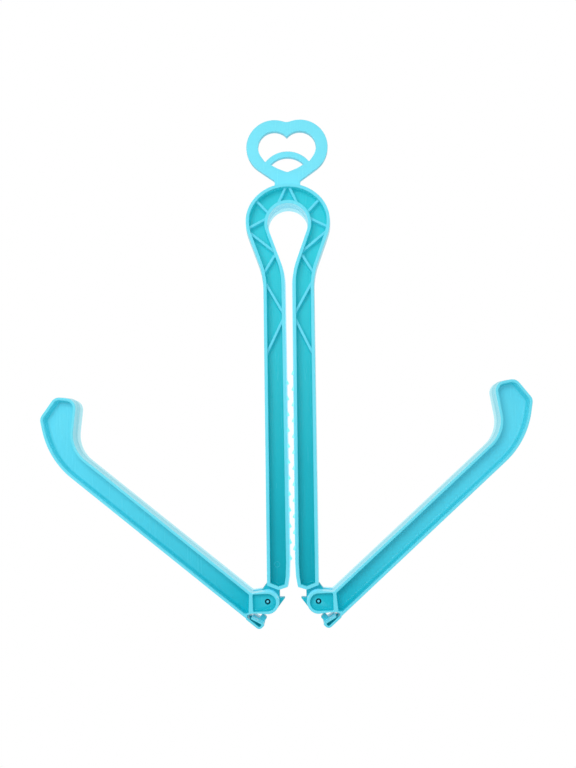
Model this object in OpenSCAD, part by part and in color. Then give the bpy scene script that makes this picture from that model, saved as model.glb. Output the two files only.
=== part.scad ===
// Folding boot shaper: a keyhole-shaped spring frame with two hinged arms that fold up or lock straight down.
// Millimetres. X runs across the legs, Y from the front face to the back, Z up.
// The origin is where a hook carries the part: under the small arch of the hanging ring, at mid depth.

/* [Mouldings] */
// Depth of the frame and arms, front face to back face
body_depth = 20; // [16:0.5:26]
// Thickness of the rim walls round each channel
rim_wall = 1.9; // [1.4:0.1:2.4]
// Thickness of the web that closes each channel at mid depth
web_thickness = 3; // [2:0.5:5]
// Thickness of the slanting ribs in the frame
rib_wall = 1.2; // [0.8:0.1:2]
// How far the slanting ribs stay below the rim
rib_drop = 3.5; // [1:0.5:6]

/* [Hanging ring] */
// Thickness of the flat ring and its neck
ring_thickness = 4; // [3:0.5:7]
// Outer radius of each round lobe
lobe_radius = 16.6; // [16:0.1:17.5]
// Distance of each lobe's centre from the middle
lobe_offset = 7.5; // [7:0.1:8.4]
// Height of the lobes' centres above the hanging point
lobe_rise = 6.1; // [5.5:0.05:7]
// Width of the ring's band
ring_band = 7.05; // [6.4:0.05:7.6]
// Inner radius of the small arch
arch_radius = 12.9; // [12.4:0.1:13.6]
// Thickness of the small arch
arch_wall = 3.6; // [2.6:0.1:4.2]
// Height of the lens-shaped hole under the arch
lens_height = 8.2; // [7.6:0.1:9]
// Width of the neck between ring and head
neck_width = 15.2; // [12:0.2:18]
// Slope of the ring's sides above the neck
neck_slope = 35.5; // [30:0.5:40]

/* [Spring head] */
// Width over the round head
head_width = 49.8; // [47:0.1:54]
// Height of the head's arch above its widest place
head_rise = 22.4; // [21.5:0.1:24]
// Depth of the head's widest place below the hanging point
head_drop = 39.9; // [39:0.1:41]
// Diameter of the keyhole
keyhole_dia = 22.7; // [20:0.1:25]
// How much lower than the head's widest place the keyhole's centre is
keyhole_drop = 1.5; // [0.5:0.1:2.5]
// Slant of the flanks that run from the head to the legs
flank_angle = 19.7; // [17:0.1:23]
// Radius of the bend from each flank to the leg
flank_radius = 44; // [32:1:46]

/* [Legs] */
// Width over both legs where they start
leg_span_top = 30.1; // [29:0.1:31]
// Width over both legs at their ends
leg_span = 30; // [29.4:0.1:31]
// Gap between the legs where they start
leg_gap_top = 3.8; // [3.3:0.1:4.4]
// Gap between the legs near their ends
leg_gap = 2.6; // [2.5:0.1:3.2]
// Length of the tapered end of the gap
gap_taper = 8; // [5:0.5:12]

/* [Teeth] */
// Number of teeth on each leg
teeth = 12; // [6:1:12]
// Distance from tooth to tooth
tooth_pitch = 9.21; // [8.6:0.01:9.4]
// Depth below the hanging point of the first tooth on the right leg
tooth_start = 128.7; // [122:0.1:131]
// How much lower the left leg's teeth are, as a share of the pitch
tooth_stagger = 0.6; // [0.3:0.05:0.7]
// How far a tooth stands out of the leg
tooth_height = 1.1; // [0.6:0.1:1.2]
// Length of a tooth along the leg
tooth_length = 3.4; // [2.4:0.1:4.5]
// Width of a tooth from front to back
tooth_width = 4; // [2:0.5:10]

/* [Arm hinges] */
// Distance of the hinges below the hanging point
hinge_drop = 258.9; // [250:0.1:270]
// Distance between the two hinges
hinge_span = 29; // [28.6:0.1:29.6]
// Radius of the round hub
hub_radius = 6.9; // [6.4:0.1:7.2]
// Radius of the hinge pin
pin_radius = 1.6; // [1.2:0.1:2.2]
// How much smaller the radius of the cheeks' holes is than the pin's
press_fit = 0.02; // [0.01:0.01:0.04]
// Radial running clearance of the pin in the leg's tongue
pin_clearance = 0.06; // [0.02:0.01:0.09]
// Depth of the recess round the pin
hub_recess = 4; // [2:0.5:4.5]
// Angle between the arm and the straight side of that recess
recess_angle = 49.5; // [40:0.5:60]
// Length of that recess from the pin to its straight side
recess_length = 8.4; // [7:0.1:8.6]
// Thickness of the tongue that the hub's cheeks hold
tongue_thickness = 5; // [4:0.5:6.5]
// Space between the tongue and each cheek
cheek_clearance = 0.3; // [0.15:0.05:0.5]
// Radius of the snap beak's tip round the hinge
beak_radius = 9.5; // [8.6:0.1:9.5]

/* [Arms] */
// Angle of the left arm from the leg's direction in the photographed pose
left_arm_angle = 51.1; // [10:0.1:170]
// Angle of the right arm from the leg's direction in the photographed pose
right_arm_angle = 47.8; // [10:0.1:170]
// Reach of an arm from its hinge to the end of its foot
arm_reach = 169.3; // [120:0.1:200]
// Distance from the hinge to the arm's outer edge
arm_outer = 14.9; // [14.7:0.1:15.2]
// Distance from the hinge to the arm's inner edge, which lies on the same side
arm_inner = 1; // [0.8:0.1:1.4]
// Slant of the foot's inner edge
foot_slant = 57.3; // [52:0.1:62]
// Length of that edge between its corners
foot_edge = 28.7; // [26:0.1:31]
// Width of the foot's end
foot_rise = 16.1; // [14:0.1:17]

/* [Latches] */
// Thickness of the latch's spring wall
latch_wall = 1.3; // [1:0.1:1.6]
// Clearance round each flexing place
flex_clearance = 0.12; // [0.08:0.01:0.2]
// Clearance between the beak's tip and the catch
catch_clearance = 0.15; // [0.1:0.01:0.3]

/* [Hidden] */
$fn = 96;

half_depth = body_depth / 2;
half_web = web_thickness / 2;
half_tongue = tongue_thickness / 2;
half_slot = half_tongue + cheek_clearance;
head_radius = head_width / 2;
keyhole_radius = keyhole_dia / 2;
keyhole_z = -head_drop - keyhole_drop;
hinge_x = hinge_span / 2;
hinge_z = -hinge_drop;
far = 60;

frame_colour = [0.18, 0.78, 0.88];
pin_colour = [0.35, 0.84, 0.92];

// How far a piece runs into its neighbour
merge = 0.6;

// Where the flanks leave the round head and the keyhole, and the corner where each would meet its leg
outer_start = [head_radius * cos(flank_angle), -head_drop - head_radius * sin(flank_angle)];
outer_corner = [leg_span_top / 2,
                outer_start[1] - (outer_start[0] - leg_span_top / 2) / tan(flank_angle)];
inner_start = [keyhole_radius * cos(flank_angle), keyhole_z - keyhole_radius * sin(flank_angle)];
inner_corner = [leg_gap_top / 2,
                inner_start[1] - (inner_start[0] - leg_gap_top / 2) / tan(flank_angle)];

// The leg's end, measured from the hinge: shoulder outside, shoulder inside and inner corner
shoulder_outer = hinge_z + hub_radius + 2.4;
shoulder_inner = [hinge_x - hub_radius + 0.45, shoulder_outer - 2.75];
leg_corner = [leg_gap / 2 + 1.3, shoulder_outer - 1];
taper_end = [leg_gap / 2 + 0.35, shoulder_outer + 4.8];
taper_start = [leg_gap / 2, taper_end[1] + gap_taper];

// The band at the head's widest place, where the spring bends
flex_x = (head_radius + keyhole_radius) / 2;
flex_radius = (head_radius - keyhole_radius) / 2 + 0.35;

// The latch in the arm's own plane: u runs from the hinge to the foot, v towards the inner edge
latch_root = [3.4, -arm_outer + latch_wall / 2];
latch_tip = -6.1;
bar_free_end = 1.9;
catch_radius = beak_radius + catch_clearance;

function unit(v) = v / norm(v);
function turned(v, a) = [v[0] * cos(a) - v[1] * sin(a), v[0] * sin(a) + v[1] * cos(a)];

// Points of a rounded corner at b between a and c
function corner(a, b, c, r) =
    let (
        to_a = unit(a - b),
        to_c = unit(c - b),
        half = acos(to_a * to_c) / 2,
        centre = b + unit(to_a + to_c) * r / sin(half),
        start = b + to_a * r / tan(half) - centre,
        sweep = 180 - 2 * half,
        way = cross(to_a, to_c) > 0 ? -1 : 1,
        steps = max(2, ceil(sweep / (r < 3 ? 20 : r < 10 ? 12 : 5)))
    )
    [for (i = [0:steps]) centre + turned(start, way * sweep * i / steps)];

// An outline from vertices [x, z] or [x, z, corner radius]
function outline(vertices) =
    let (n = len(vertices), at = [for (v = vertices) [v[0], v[1]]])
    [for (i = [0:n - 1])
        each len(vertices[i]) < 3
            ? [at[i]]
            : corner(at[(i + n - 1) % n], at[i], at[(i + 1) % n], vertices[i][2])];

// A clockwise outline moved inwards by d
function inset(points, d) =
    let (n = len(points))
    [for (i = [0:n - 1])
        let (
            a = unit(points[i] - points[(i + n - 1) % n]),
            b = unit(points[(i + 1) % n] - points[i]),
            na = [a[1], -a[0]],
            nb = [b[1], -b[0]]
        )
        points[i] + d * (na + nb) / (1 + na * nb)];

// Right half of the frame's outside, from the top of the head down to the inner corner of the leg
frame_side = concat(
    [for (t = [5:5:90]) [head_radius * sin(t), -head_drop + head_rise * cos(t)]],
    [for (t = [flank_angle / 4:flank_angle / 4:flank_angle])
        [head_radius * cos(t), -head_drop - head_radius * sin(t)]],
    [[outer_corner[0], outer_corner[1], flank_radius],
     [leg_span / 2, shoulder_outer],
     shoulder_inner,
     leg_corner,
     taper_end,
     taper_start,
     [inner_corner[0], inner_corner[1], flank_radius - 3]]);

// The keyhole's round stretch, from the right flank over the top to the left one
keyhole_arc = [for (i = [0:36])
    let (t = -flank_angle + i * (180 + 2 * flank_angle) / 36)
    [keyhole_radius * cos(t), keyhole_z + keyhole_radius * sin(t)]];

function mirrored_vertices(vertices) = [for (i = [len(vertices) - 1:-1:0])
    len(vertices[i]) < 3
        ? [-vertices[i][0], vertices[i][1]]
        : [-vertices[i][0], vertices[i][1], vertices[i][2]]];

frame_outline = outline(concat(
    [[0, -head_drop + head_rise]],
    frame_side,
    keyhole_arc,
    mirrored_vertices(frame_side)));
frame_pocket = inset(frame_outline, rim_wall);

// Half width of the frame's outer and inner walls at height z below the head
function outer_x(z) = max(outer_start[0] - (outer_start[1] - z) * tan(flank_angle), leg_span_top / 2);
function inner_x(z) = max(inner_start[0] - (inner_start[1] - z) * tan(flank_angle), leg_gap_top / 2);
function on_head(t) = [head_radius * sin(t), -head_drop + head_rise * cos(t)];
function on_keyhole(t) = [keyhole_radius * sin(t), keyhole_z + keyhole_radius * cos(t)];

// The ribs on the right: each runs from the outer wall to the inner one. The first three are placed by
// angles from the top of the head and of the keyhole, the others by their depths below the head's centre.
head_ribs = [[0.7, 41], [51, 61], [100, 64]];
flank_ribs = [[3.6, 19.4], [31.2, 17.1], [32.9, 56.3], [80.7, 53.6]];
ribs = concat(
    [for (r = head_ribs) [on_head(r[0]), on_keyhole(r[1])]],
    [for (r = flank_ribs)
        [[outer_x(-head_drop - r[0]), -head_drop - r[0]], [inner_x(-head_drop - r[1]), -head_drop - r[1]]]]);

// Where the arm's channel begins, measured along the arm from the hinge
pocket_start = 11.8;

// The arm's outline in its own plane, clockwise from the hub along the inner edge to the foot and back
foot_line = [arm_reach - 27, -arm_inner];
foot_top = foot_line + foot_edge * [cos(foot_slant), sin(foot_slant)];
foot_vertices = [
    [foot_line[0], foot_line[1], 18.5],
    [foot_top[0], foot_top[1], 6.3],
    [arm_reach, foot_rise, 5.7],
    [arm_reach - 1, 0.5, 4],
    [arm_reach - 20.2, -arm_outer, 49]];
root_vertices = [
    [latch_root[0], -arm_outer],
    [latch_root[0], -arm_outer + latch_wall],
    [4.1, -arm_outer + latch_wall + 0.9, 0.5],
    [3.2, -11, 0.8],
    [1.6, -9.5]];
arm_outline = outline(concat(
    [[4.3, 5.3], [10.3, -arm_inner]],
    foot_vertices,
    root_vertices,
    [turned([0, -hub_radius + 0.02], -42), [-2, 1]]));
arm_pocket = inset(outline(concat(
    [[pocket_start - rim_wall, -arm_inner]],
    foot_vertices,
    [[pocket_start - 4.1 - rim_wall, -arm_outer],
     [pocket_start - 6.6 - rim_wall, -12.8],
     [pocket_start - 7.1 - rim_wall, -10.4]])), rim_wall);

// The hairpin latch, clockwise from its root: spring wall, bend, and the bar that comes back
latch_outline = outline([
    [latch_root[0], -arm_outer + latch_wall],
    [latch_root[0], -arm_outer],
    [latch_tip, -arm_outer, 2.4],
    [latch_tip - 0.5, -10.4, 0.9],
    [bar_free_end, -11.8, 0.4],
    [bar_free_end, -13, 0.4],
    [latch_tip + 1, -11.6, 0.5],
    [latch_tip + 1, -arm_outer + latch_wall, 0.8]]);
catch_outline = [[latch_tip, -10.8], [-6.2, -8.5], [-2.2, -8.5], [-1.9, -10.7], [1.5, -11.2], [1.5, -12.1],
                 [latch_tip + 1, -10.9]];

// A flat piece from y0 to y1 with the shape of its child
module plate(y0, y1) {
    translate([0, y1, 0])
        rotate([90, 0, 0])
            linear_extrude(height = y1 - y0)
                children();
}

// A piece that is alike on the left (-1) and, mirrored, on the right (1)
module on_side(side) {
    if (side < 0)
        children();
    else
        mirror([1, 0, 0])
            children();
}

// A bar of rib thickness from a to b
module rib(a, b) {
    across = rib_wall / 2 * turned(unit(b - a), 90);
    polygon([a - across, b - across, b + across, a + across]);
}

module rib_pattern() {
    for (r = ribs) {
        rib(r[0], r[1]);
        rib([-r[0][0], r[0][1]], [-r[1][0], r[1][1]]);
    }
}

// The frame's I-section within the child's shape
module frame_section() {
    plate(-half_web, half_web)
        intersection() {
            polygon(frame_outline);
            children();
        }
    plate(-half_depth, half_depth)
        intersection() {
            difference() {
                polygon(frame_outline);
                polygon(frame_pocket);
            }
            children();
        }
    plate(-half_depth + rib_drop, half_depth - rib_drop)
        intersection() {
            polygon(frame_outline);
            rib_pattern();
            children();
        }
}

module heart_opening() {
    difference() {
        for (side = [-1, 1]) {
            translate([side * lobe_offset, lobe_rise])
                circle(r = lobe_radius - ring_band);
            polygon([[side * 15.6, 1], [side * 12.7, -3.1], [side * 8, 1]]);
        }
        translate([0, -arch_radius])
            circle(r = arch_radius + arch_wall);
    }
}

module lens_opening() {
    lens_radius = arch_radius + 1.1;
    intersection() {
        translate([0, -arch_radius])
            circle(r = arch_radius);
        translate([0, lens_radius - lens_height])
            circle(r = lens_radius);
    }
}

// The flat ring: two lobes, the slopes down to the neck, and the two openings
module ring_shape() {
    slope_top = lobe_rise - lobe_radius * cos(neck_slope);
    slope_x = lobe_offset + lobe_radius * sin(neck_slope);
    slope_end = slope_top - (slope_x - neck_width / 2) * tan(neck_slope);
    dip = lobe_offset / 2;
    lobe_top = lobe_rise + sqrt(pow(lobe_radius, 2) - pow(lobe_offset - dip, 2));
    difference() {
        union() {
            for (side = [-1, 1])
                translate([side * lobe_offset, lobe_rise])
                    circle(r = lobe_radius);
            polygon([[-dip, lobe_top], [-dip / 3, lobe_top - 0.5], [dip / 3, lobe_top - 0.5], [dip, lobe_top],
                     [0, lobe_rise]]);
            polygon([[-slope_x, slope_top], [slope_x, slope_top],
                     [neck_width / 2, slope_end], [-neck_width / 2, slope_end]]);
            translate([-neck_width / 2, -head_drop + head_rise - rim_wall])
                square([neck_width, head_drop - head_rise + rim_wall + slope_top]);
        }
        heart_opening();
        lens_opening();
    }
}

// The half plane above the head's widest place, with the round ends that the legs' sockets follow
module crown_region() {
    translate([-far, -head_drop])
        square([2 * far, head_drop + far]);
    for (side = [-1, 1])
        translate([side * flex_x, -head_drop])
            circle(r = flex_radius);
}

module leg_region() {
    difference() {
        translate([-far, hinge_z])
            square([far, hinge_drop - head_drop]);
        translate([-flex_x, -head_drop])
            circle(r = flex_radius + flex_clearance);
    }
}

module crown() {
    color(frame_colour) {
        frame_section()
            crown_region();
        plate(-ring_thickness / 2, ring_thickness / 2)
            ring_shape();
    }
}

// The tongue round the left hinge, with the beak that the latch snaps over
module tongue_shape() {
    difference() {
        translate([-hinge_x, hinge_z])
            union() {
                circle(r = hub_radius);
                polygon([[-hinge_x + leg_span / 2 - 1.2, shoulder_outer - hinge_z + merge],
                         [-hub_radius * cos(57), hub_radius * sin(57)],
                         [0, 0], [hub_radius, 0],
                         [hub_radius, shoulder_inner[1] - hinge_z + 0.3], [hub_radius - 1.5, 9]]);
                polygon([[0, 0], turned([hub_radius, 0], -38), turned([beak_radius, 0], -0.5),
                         turned([beak_radius, 0], 3.5), [hub_radius - 1, 0.9]]);
            }
        translate([-hinge_x, hinge_z])
            circle(r = pin_radius + pin_clearance);
    }
}

// Teeth on the left leg's inner face, tips down
module teeth_shape(first) {
    for (i = [0:teeth - 1]) {
        z = -first - i * tooth_pitch;
        share = (z - inner_corner[1]) / (taper_start[1] - inner_corner[1]);
        face = -(leg_gap_top + (leg_gap - leg_gap_top) * share) / 2;
        polygon([[face - merge, z + tooth_length * 0.8], [face, z + tooth_length * 0.7],
                 [face + tooth_height, z], [face, z - tooth_length * 0.2], [face - merge, z - tooth_length * 0.2]]);
    }
}

module leg(side, first_tooth) {
    color(frame_colour)
        on_side(side) {
            frame_section()
                leg_region();
            plate(-half_tongue, half_tongue)
                tongue_shape();
            plate(-tooth_width / 2, tooth_width / 2)
                teeth_shape(first_tooth);
        }
}

module left_leg() {
    leg(-1, tooth_start + tooth_pitch * tooth_stagger);
}

module right_leg() {
    leg(1, tooth_start);
}

// The arm's own plane at the left hinge, turned out from the leg by the given angle
module in_arm_plane(angle) {
    translate([-hinge_x, hinge_z])
        rotate(90 + angle)
            mirror([0, 1])
                children();
}

// The same plane with the angles of the photographed pose: x across the leg and z along it
module in_hub_plane(angle) {
    in_arm_plane(angle)
        rotate(90 + recess_angle)
            mirror([0, 1])
                children();
}

module hub_recess_shape() {
    circle(r = hub_radius - rim_wall);
    translate([-recess_length, -hub_radius + rim_wall])
        square([recess_length, 2 * (hub_radius - rim_wall)]);
}

module arm(side, angle) {
    color(frame_colour)
        on_side(side)
            difference() {
                union() {
                    plate(-half_depth, half_depth)
                        in_arm_plane(angle)
                            polygon(arm_outline);
                    plate(-half_depth, half_depth)
                        in_arm_plane(angle)
                            circle(r = hub_radius);
                }
                plate(-half_depth - 1, half_depth + 1)
                    in_arm_plane(angle) {
                        translate(latch_root)
                            circle(r = latch_wall / 2 + flex_clearance);
                        circle(r = pin_radius - press_fit);
                    }
                for (y = [-half_depth - 1, half_web])
                    plate(y, y + half_depth + 1 - half_web)
                        in_arm_plane(angle)
                            polygon(arm_pocket);
                for (y = [-half_depth - 1, half_depth - hub_recess])
                    plate(y, y + hub_recess + 1)
                        in_hub_plane(angle)
                            hub_recess_shape();
                plate(-half_slot, half_slot)
                    in_arm_plane(angle)
                        circle(r = beak_radius + 0.6);
            }
}

module left_arm() {
    arm(-1, left_arm_angle);
}

module right_arm() {
    arm(1, right_arm_angle);
}

module latch(side, angle) {
    color(frame_colour)
        on_side(side) {
            plate(-half_depth, half_depth)
                in_arm_plane(angle) {
                    polygon(latch_outline);
                    translate(latch_root)
                        circle(r = latch_wall / 2);
                }
            plate(-half_tongue, half_tongue)
                in_arm_plane(angle)
                    difference() {
                        polygon(catch_outline);
                        circle(r = catch_radius);
                    }
        }
}

module left_latch() {
    latch(-1, left_arm_angle);
}

module right_latch() {
    latch(1, right_arm_angle);
}

// A hinge pin from cheek to cheek, with chamfered ends that stay below the hub's recess
module pin(side) {
    length = body_depth - 2 * hub_recess - 1;
    chamfer = 0.5;
    color(pin_colour)
        on_side(side)
            translate([-hinge_x, 0, hinge_z])
                rotate([90, 0, 0]) {
                    cylinder(r = pin_radius, h = length - 2 * chamfer, center = true);
                    for (turn = [0, 180])
                        rotate([turn, 0, 0])
                            translate([0, 0, length / 2 - chamfer])
                                cylinder(r1 = pin_radius, r2 = pin_radius - chamfer, h = chamfer);
                }
}

module left_pin() {
    pin(-1);
}

module right_pin() {
    pin(1);
}

crown();
left_leg();
right_leg();
left_arm();
right_arm();
left_latch();
right_latch();
left_pin();
right_pin();
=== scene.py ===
"""Looks of the folding boot shaper: a moulded frame with a hanging ring, two footed arms and their snap latches."""

import math

import bmesh
import bpy
from bpy.props import FloatProperty, FloatVectorProperty, PointerProperty
from mathutils import Matrix, Vector
from mathutils.geometry import tessellate_polygon


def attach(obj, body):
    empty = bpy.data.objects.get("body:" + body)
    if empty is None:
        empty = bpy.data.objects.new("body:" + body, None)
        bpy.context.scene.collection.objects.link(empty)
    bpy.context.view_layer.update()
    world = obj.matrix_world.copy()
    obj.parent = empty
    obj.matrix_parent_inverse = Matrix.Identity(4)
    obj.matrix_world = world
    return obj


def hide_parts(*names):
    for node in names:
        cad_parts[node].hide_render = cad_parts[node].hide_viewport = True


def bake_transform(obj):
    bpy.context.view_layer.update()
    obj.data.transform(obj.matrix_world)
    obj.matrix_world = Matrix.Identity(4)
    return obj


bl_info = {
    "name": "Boot shaper",
    "version": (1, 0, 0),
    "blender": (4, 5, 0),
    "location": "3D View > Sidebar > Boot shaper",
    "description": "Builds the moulded boot shaper piece by piece round its CAD frame",
    "category": "Object",
}

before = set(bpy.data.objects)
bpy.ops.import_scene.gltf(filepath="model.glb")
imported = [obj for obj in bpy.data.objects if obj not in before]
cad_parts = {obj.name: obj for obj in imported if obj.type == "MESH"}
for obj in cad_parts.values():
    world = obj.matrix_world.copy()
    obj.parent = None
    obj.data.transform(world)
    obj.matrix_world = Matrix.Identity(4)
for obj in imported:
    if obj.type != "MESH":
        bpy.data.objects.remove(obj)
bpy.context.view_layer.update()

TEETH = 12
# Ribs of the round head: degrees from its top, at the outer edge and at the keyhole.
HEAD_RIBS = ((0.7, 41), (51, 61), (100, 64))
# Ribs of the flanks: millimetres below the head's widest place, at the outer edge and at the inner one.
FLANK_RIBS = ((3.6, 19.4), (31.2, 17.1), (32.9, 56.3), (80.7, 53.6))
# The ejector's round mark on the left leg: place and radius in millimetres.
MARK_PLACE, MARK_RADIUS = (8.9, -238.4), 1.9
# Heights in metres between which the channels' colour goes from the low one to the high one, painted light that
# brightens them upwards.
SHADED_LOW_Z, LIT_HIGH_Z = -0.25, -0.04
PIN_HOLE_RADIUS = 1.75
# The soft key lamp: where it stands, what it is aimed at, and its size, in metres.
KEY_PLACE, KEY_AIM, KEY_SIZE = (-0.13, -0.62, 0.0), (0, 0, -0.1), (0.35, 0.3)


def length(name, description, millimetres):
    return FloatProperty(name=name, description=description, default=millimetres / 1000, unit="LENGTH", precision=5)


def angle(name, description, degrees):
    return FloatProperty(name=name, description=description, default=math.radians(degrees), subtype="ANGLE")


def amount(name, description, value):
    return FloatProperty(name=name, description=description, default=value, min=0, max=1, subtype="FACTOR")


def colour(name, description, red, green, blue):
    return FloatVectorProperty(name=name, description=description, default=(red, green, blue), size=3, min=0, max=1,
                               subtype="COLOR")


class MouldingSizes(bpy.types.PropertyGroup):
    """Sections that the frame and the arms share"""
    depth: length("Depth", "From the front face to the back face", 20)
    web: length("Web", "Thickness of the web that closes each channel at mid depth", 3)
    rim_wall: length("Rim wall", "Thickness of the rim walls at the faces", 1.9)
    rim_round: length("Rim rounding", "Radius of the rims' edges", 0.3)
    draft: length("Draft", "How far each wall leans in between mid depth and a face", 0.45)
    parting_step: length("Parting step", "How far the back half of the mould stands behind the front half", 0.12)
    floor_fillet: length("Floor fillet", "Radius between the channel's walls and its floor", 0.9)
    rib_wall: length("Rib", "Thickness of the slanting ribs", 1.5)
    rib_drop: length("Rib drop", "How far the slanting ribs stay below the rim", 3.5)


class RingSizes(bpy.types.PropertyGroup):
    """The flat hanging ring"""
    thickness: length("Thickness", "Thickness of the ring's plate", 4)
    edge_round: length("Edge rounding", "Radius of the plate's edges", 0.55)
    lobe_radius: length("Lobe radius", "Outer radius of each lobe", 16.6)
    lobe_offset: length("Lobe offset", "Distance of each lobe's centre from the middle", 7.5)
    lobe_rise: length("Lobe rise", "Height of the lobes' centres above the hanging point", 6.1)
    band: length("Band", "Width of the ring's band", 7.05)
    arch_radius: length("Arch radius", "Inner radius of the small arch", 12.9)
    arch_wall: length("Arch wall", "Thickness of the small arch", 3.6)
    lens_height: length("Lens height", "Height of the lens-shaped hole", 8.2)
    neck_width: length("Neck width", "Width of the neck that carries the ring", 15.2)
    neck_slope: angle("Neck slope", "Slope of the ring's sides above the neck", 35.5)


class FrameSizes(bpy.types.PropertyGroup):
    """The spring head and the legs"""
    head_width: length("Head width", "Width over the round head", 49.8)
    head_rise: length("Head rise", "Height of the head's arch above its widest place", 22.4)
    head_drop: length("Head drop", "Depth of the head's widest place below the hanging point", 39.9)
    keyhole: length("Keyhole", "Diameter of the keyhole", 22.7)
    keyhole_drop: length("Keyhole drop", "How much lower than the head the keyhole's centre is", 1.5)
    flank_angle: angle("Flank angle", "Slant of the flanks between the head and the legs", 19.7)
    flank_radius: length("Flank radius", "Radius of the bend from each flank to the leg", 44)
    leg_span_top: length("Leg span, top", "Width over both legs where they start", 30.1)
    leg_span: length("Leg span", "Width over both legs at their ends", 30)
    gap_top: length("Gap, top", "Gap between the legs where they start", 3.8)
    gap: length("Gap", "Gap between the legs near their ends", 2.6)
    gap_taper: length("Gap taper", "Length of the tapered end of the gap", 8)
    tooth_pitch: length("Tooth pitch", "Distance from tooth to tooth", 9.21)
    tooth_start: length("First tooth", "Depth of the right leg's first tooth below the hanging point", 128.7)
    tooth_stagger: amount("Tooth stagger", "How much lower the left leg's teeth are, as a share of the pitch", 0.6)
    tooth_height: length("Tooth height", "How far a tooth stands out of the leg", 1.1)
    tooth_length: length("Tooth length", "Length of a tooth along the leg", 3.4)
    tooth_width: length("Tooth width", "Width of a tooth from front to back", 4)


class ArmSizes(bpy.types.PropertyGroup):
    """The arms, their hubs, pins and snap latches"""
    hinge_drop: length("Hinge drop", "Distance of the hinges below the hanging point", 258.9)
    hinge_span: length("Hinge span", "Distance between the two hinges", 29)
    hub_radius: length("Hub radius", "Radius of the round hub", 6.9)
    pin_radius: length("Pin radius", "Radius of the hinge pin", 1.6)
    hub_recess: length("Hub recess", "Depth of the recess round the pin", 4)
    recess_angle: angle("Recess angle", "Angle between the arm and the straight side of the recess", 49.5)
    tongue: length("Tongue", "Thickness of the leg's tongue between the cheeks", 5)
    cheek_gap: length("Cheek gap", "Space between the tongue and each cheek", 0.3)
    beak_radius: length("Beak radius", "Radius of the beak's tip round the hinge", 9.5)
    left_angle: angle("Left arm", "Angle of the left arm from the leg's direction", 51.1)
    right_angle: angle("Right arm", "Angle of the right arm from the leg's direction", 47.8)
    reach: length("Reach", "Distance from the hinge to the end of the foot", 169.3)
    outer: length("Outer edge", "Distance from the hinge to the arm's outer edge", 14.9)
    inner: length("Inner edge", "Distance from the hinge to the arm's inner edge", 1)
    foot_slant: angle("Foot slant", "Slant of the foot's inner edge", 57.3)
    foot_edge: length("Foot edge", "Length of the foot's inner edge", 28.7)
    foot_rise: length("Foot rise", "Width of the foot's end", 16.1)
    latch_wall: length("Latch wall", "Thickness of the latch's spring wall", 1.3)


class Finish(bpy.types.PropertyGroup):
    """Colours of the plastic with its painted shade, painted light and painted glow, and its surface"""
    rim_colour: colour("Rim", "Colour where the plastic is thin and lit from behind too", 0.16, 0.74, 0.90)
    # The channels' floor colours are painted shade: the channels are the same plastic as the rims.
    shaded_floor_colour: colour("Floor", "Colour of the plastic in the channels", 0.0, 0.44, 0.53)
    shaded_arm_floor_colour: colour("Arm floor", "Colour of the plastic in the channels of the arms", 0.01, 0.53, 0.64)
    # Painted light: the channels are painted lighter near the round head.
    lit_high_floor_colour: colour("Floor, high up", "Colour of the plastic in the channels near the round head", 0.02, 0.62, 0.68)
    # The pale wall colour is painted light and reflection on the outer walls.
    lit_wall_colour: colour("Wall", "Colour of the outer walls", 0.44, 0.92, 1.0)
    pin_colour: colour("Pin", "Colour of the hinge pins", 0.16, 0.70, 0.86)
    # The groove colour is painted shade in the groove round each pin's end.
    groove_shade_colour: colour("Groove", "Colour in the dark groove round each pin's end", 0.0, 0.035, 0.055)
    # Inner light is a painted glow: the plastic emits a share of its colour, standing in for light let through the thin
    # walls.
    painted_glow: amount("Inner light", "Light that thin walls let through, as a share of their colour; thick ones give half",
                 0.32)
    gloss: amount("Roughness", "Roughness of the moulded surface", 0.24)


class StageLook(bpy.types.PropertyGroup):
    """Camera and light"""
    lens: FloatProperty(name="Lens", description="Focal length of the camera in millimetres", default=46.154,
                        unit="CAMERA")
    place: FloatVectorProperty(name="Camera", description="Where the camera stands", size=3,
                               default=(0.009354, -0.573365, -0.175167), subtype="TRANSLATION")
    key_power: FloatProperty(name="Key light", description="Power of the large soft lamp", default=1.85, unit="POWER")
    sky: FloatProperty(name="Sky", description="Strength of the even light from all round", default=0.53, min=0)
    back_mirror: amount("Back in reflections", "How bright the backdrop is in reflections", 0.68)
    front_mirror: amount("Front in reflections", "How bright the room behind the camera is in reflections", 0.06)


def mm(value):
    return value * 1000


def turned(x, z, radians):
    return (x * math.cos(radians) - z * math.sin(radians), x * math.sin(radians) + z * math.cos(radians))


def arc(centre, radius, start, end, step=4.0):
    """Points on a circle from start to end degrees."""
    count = max(2, math.ceil(abs(end - start) / step))
    return [(centre[0] + radius * math.cos(math.radians(start + (end - start) * i / count)),
             centre[1] + radius * math.sin(math.radians(start + (end - start) * i / count)))
            for i in range(count + 1)]


def rounded(before, at, after, radius):
    """Points of a rounded corner."""
    a, b, c = Vector(before), Vector(at), Vector(after)
    to_a, to_c = (a - b).normalized(), (c - b).normalized()
    half = math.acos(max(-1, min(1, to_a.dot(to_c)))) / 2
    centre = b + (to_a + to_c).normalized() * radius / math.sin(half)
    start = b + to_a * radius / math.tan(half) - centre
    sweep = math.pi - 2 * half
    way = -1 if to_a.x * to_c.y - to_a.y * to_c.x > 0 else 1
    step = math.radians(15 if radius < 3 else 8 if radius < 10 else 2.5)
    count = max(2, math.ceil(sweep / step))
    return [tuple(centre + Vector(turned(start.x, start.y, way * sweep * i / count))) for i in range(count + 1)]


def outline(vertices):
    """An outline from corners (x, z) or (x, z, radius)."""
    points = []
    for i, v in enumerate(vertices):
        if len(v) < 3:
            points.append((v[0], v[1]))
        else:
            points += rounded(vertices[i - 1][:2], v[:2], vertices[(i + 1) % len(vertices)][:2], v[2])
    return points


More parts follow.
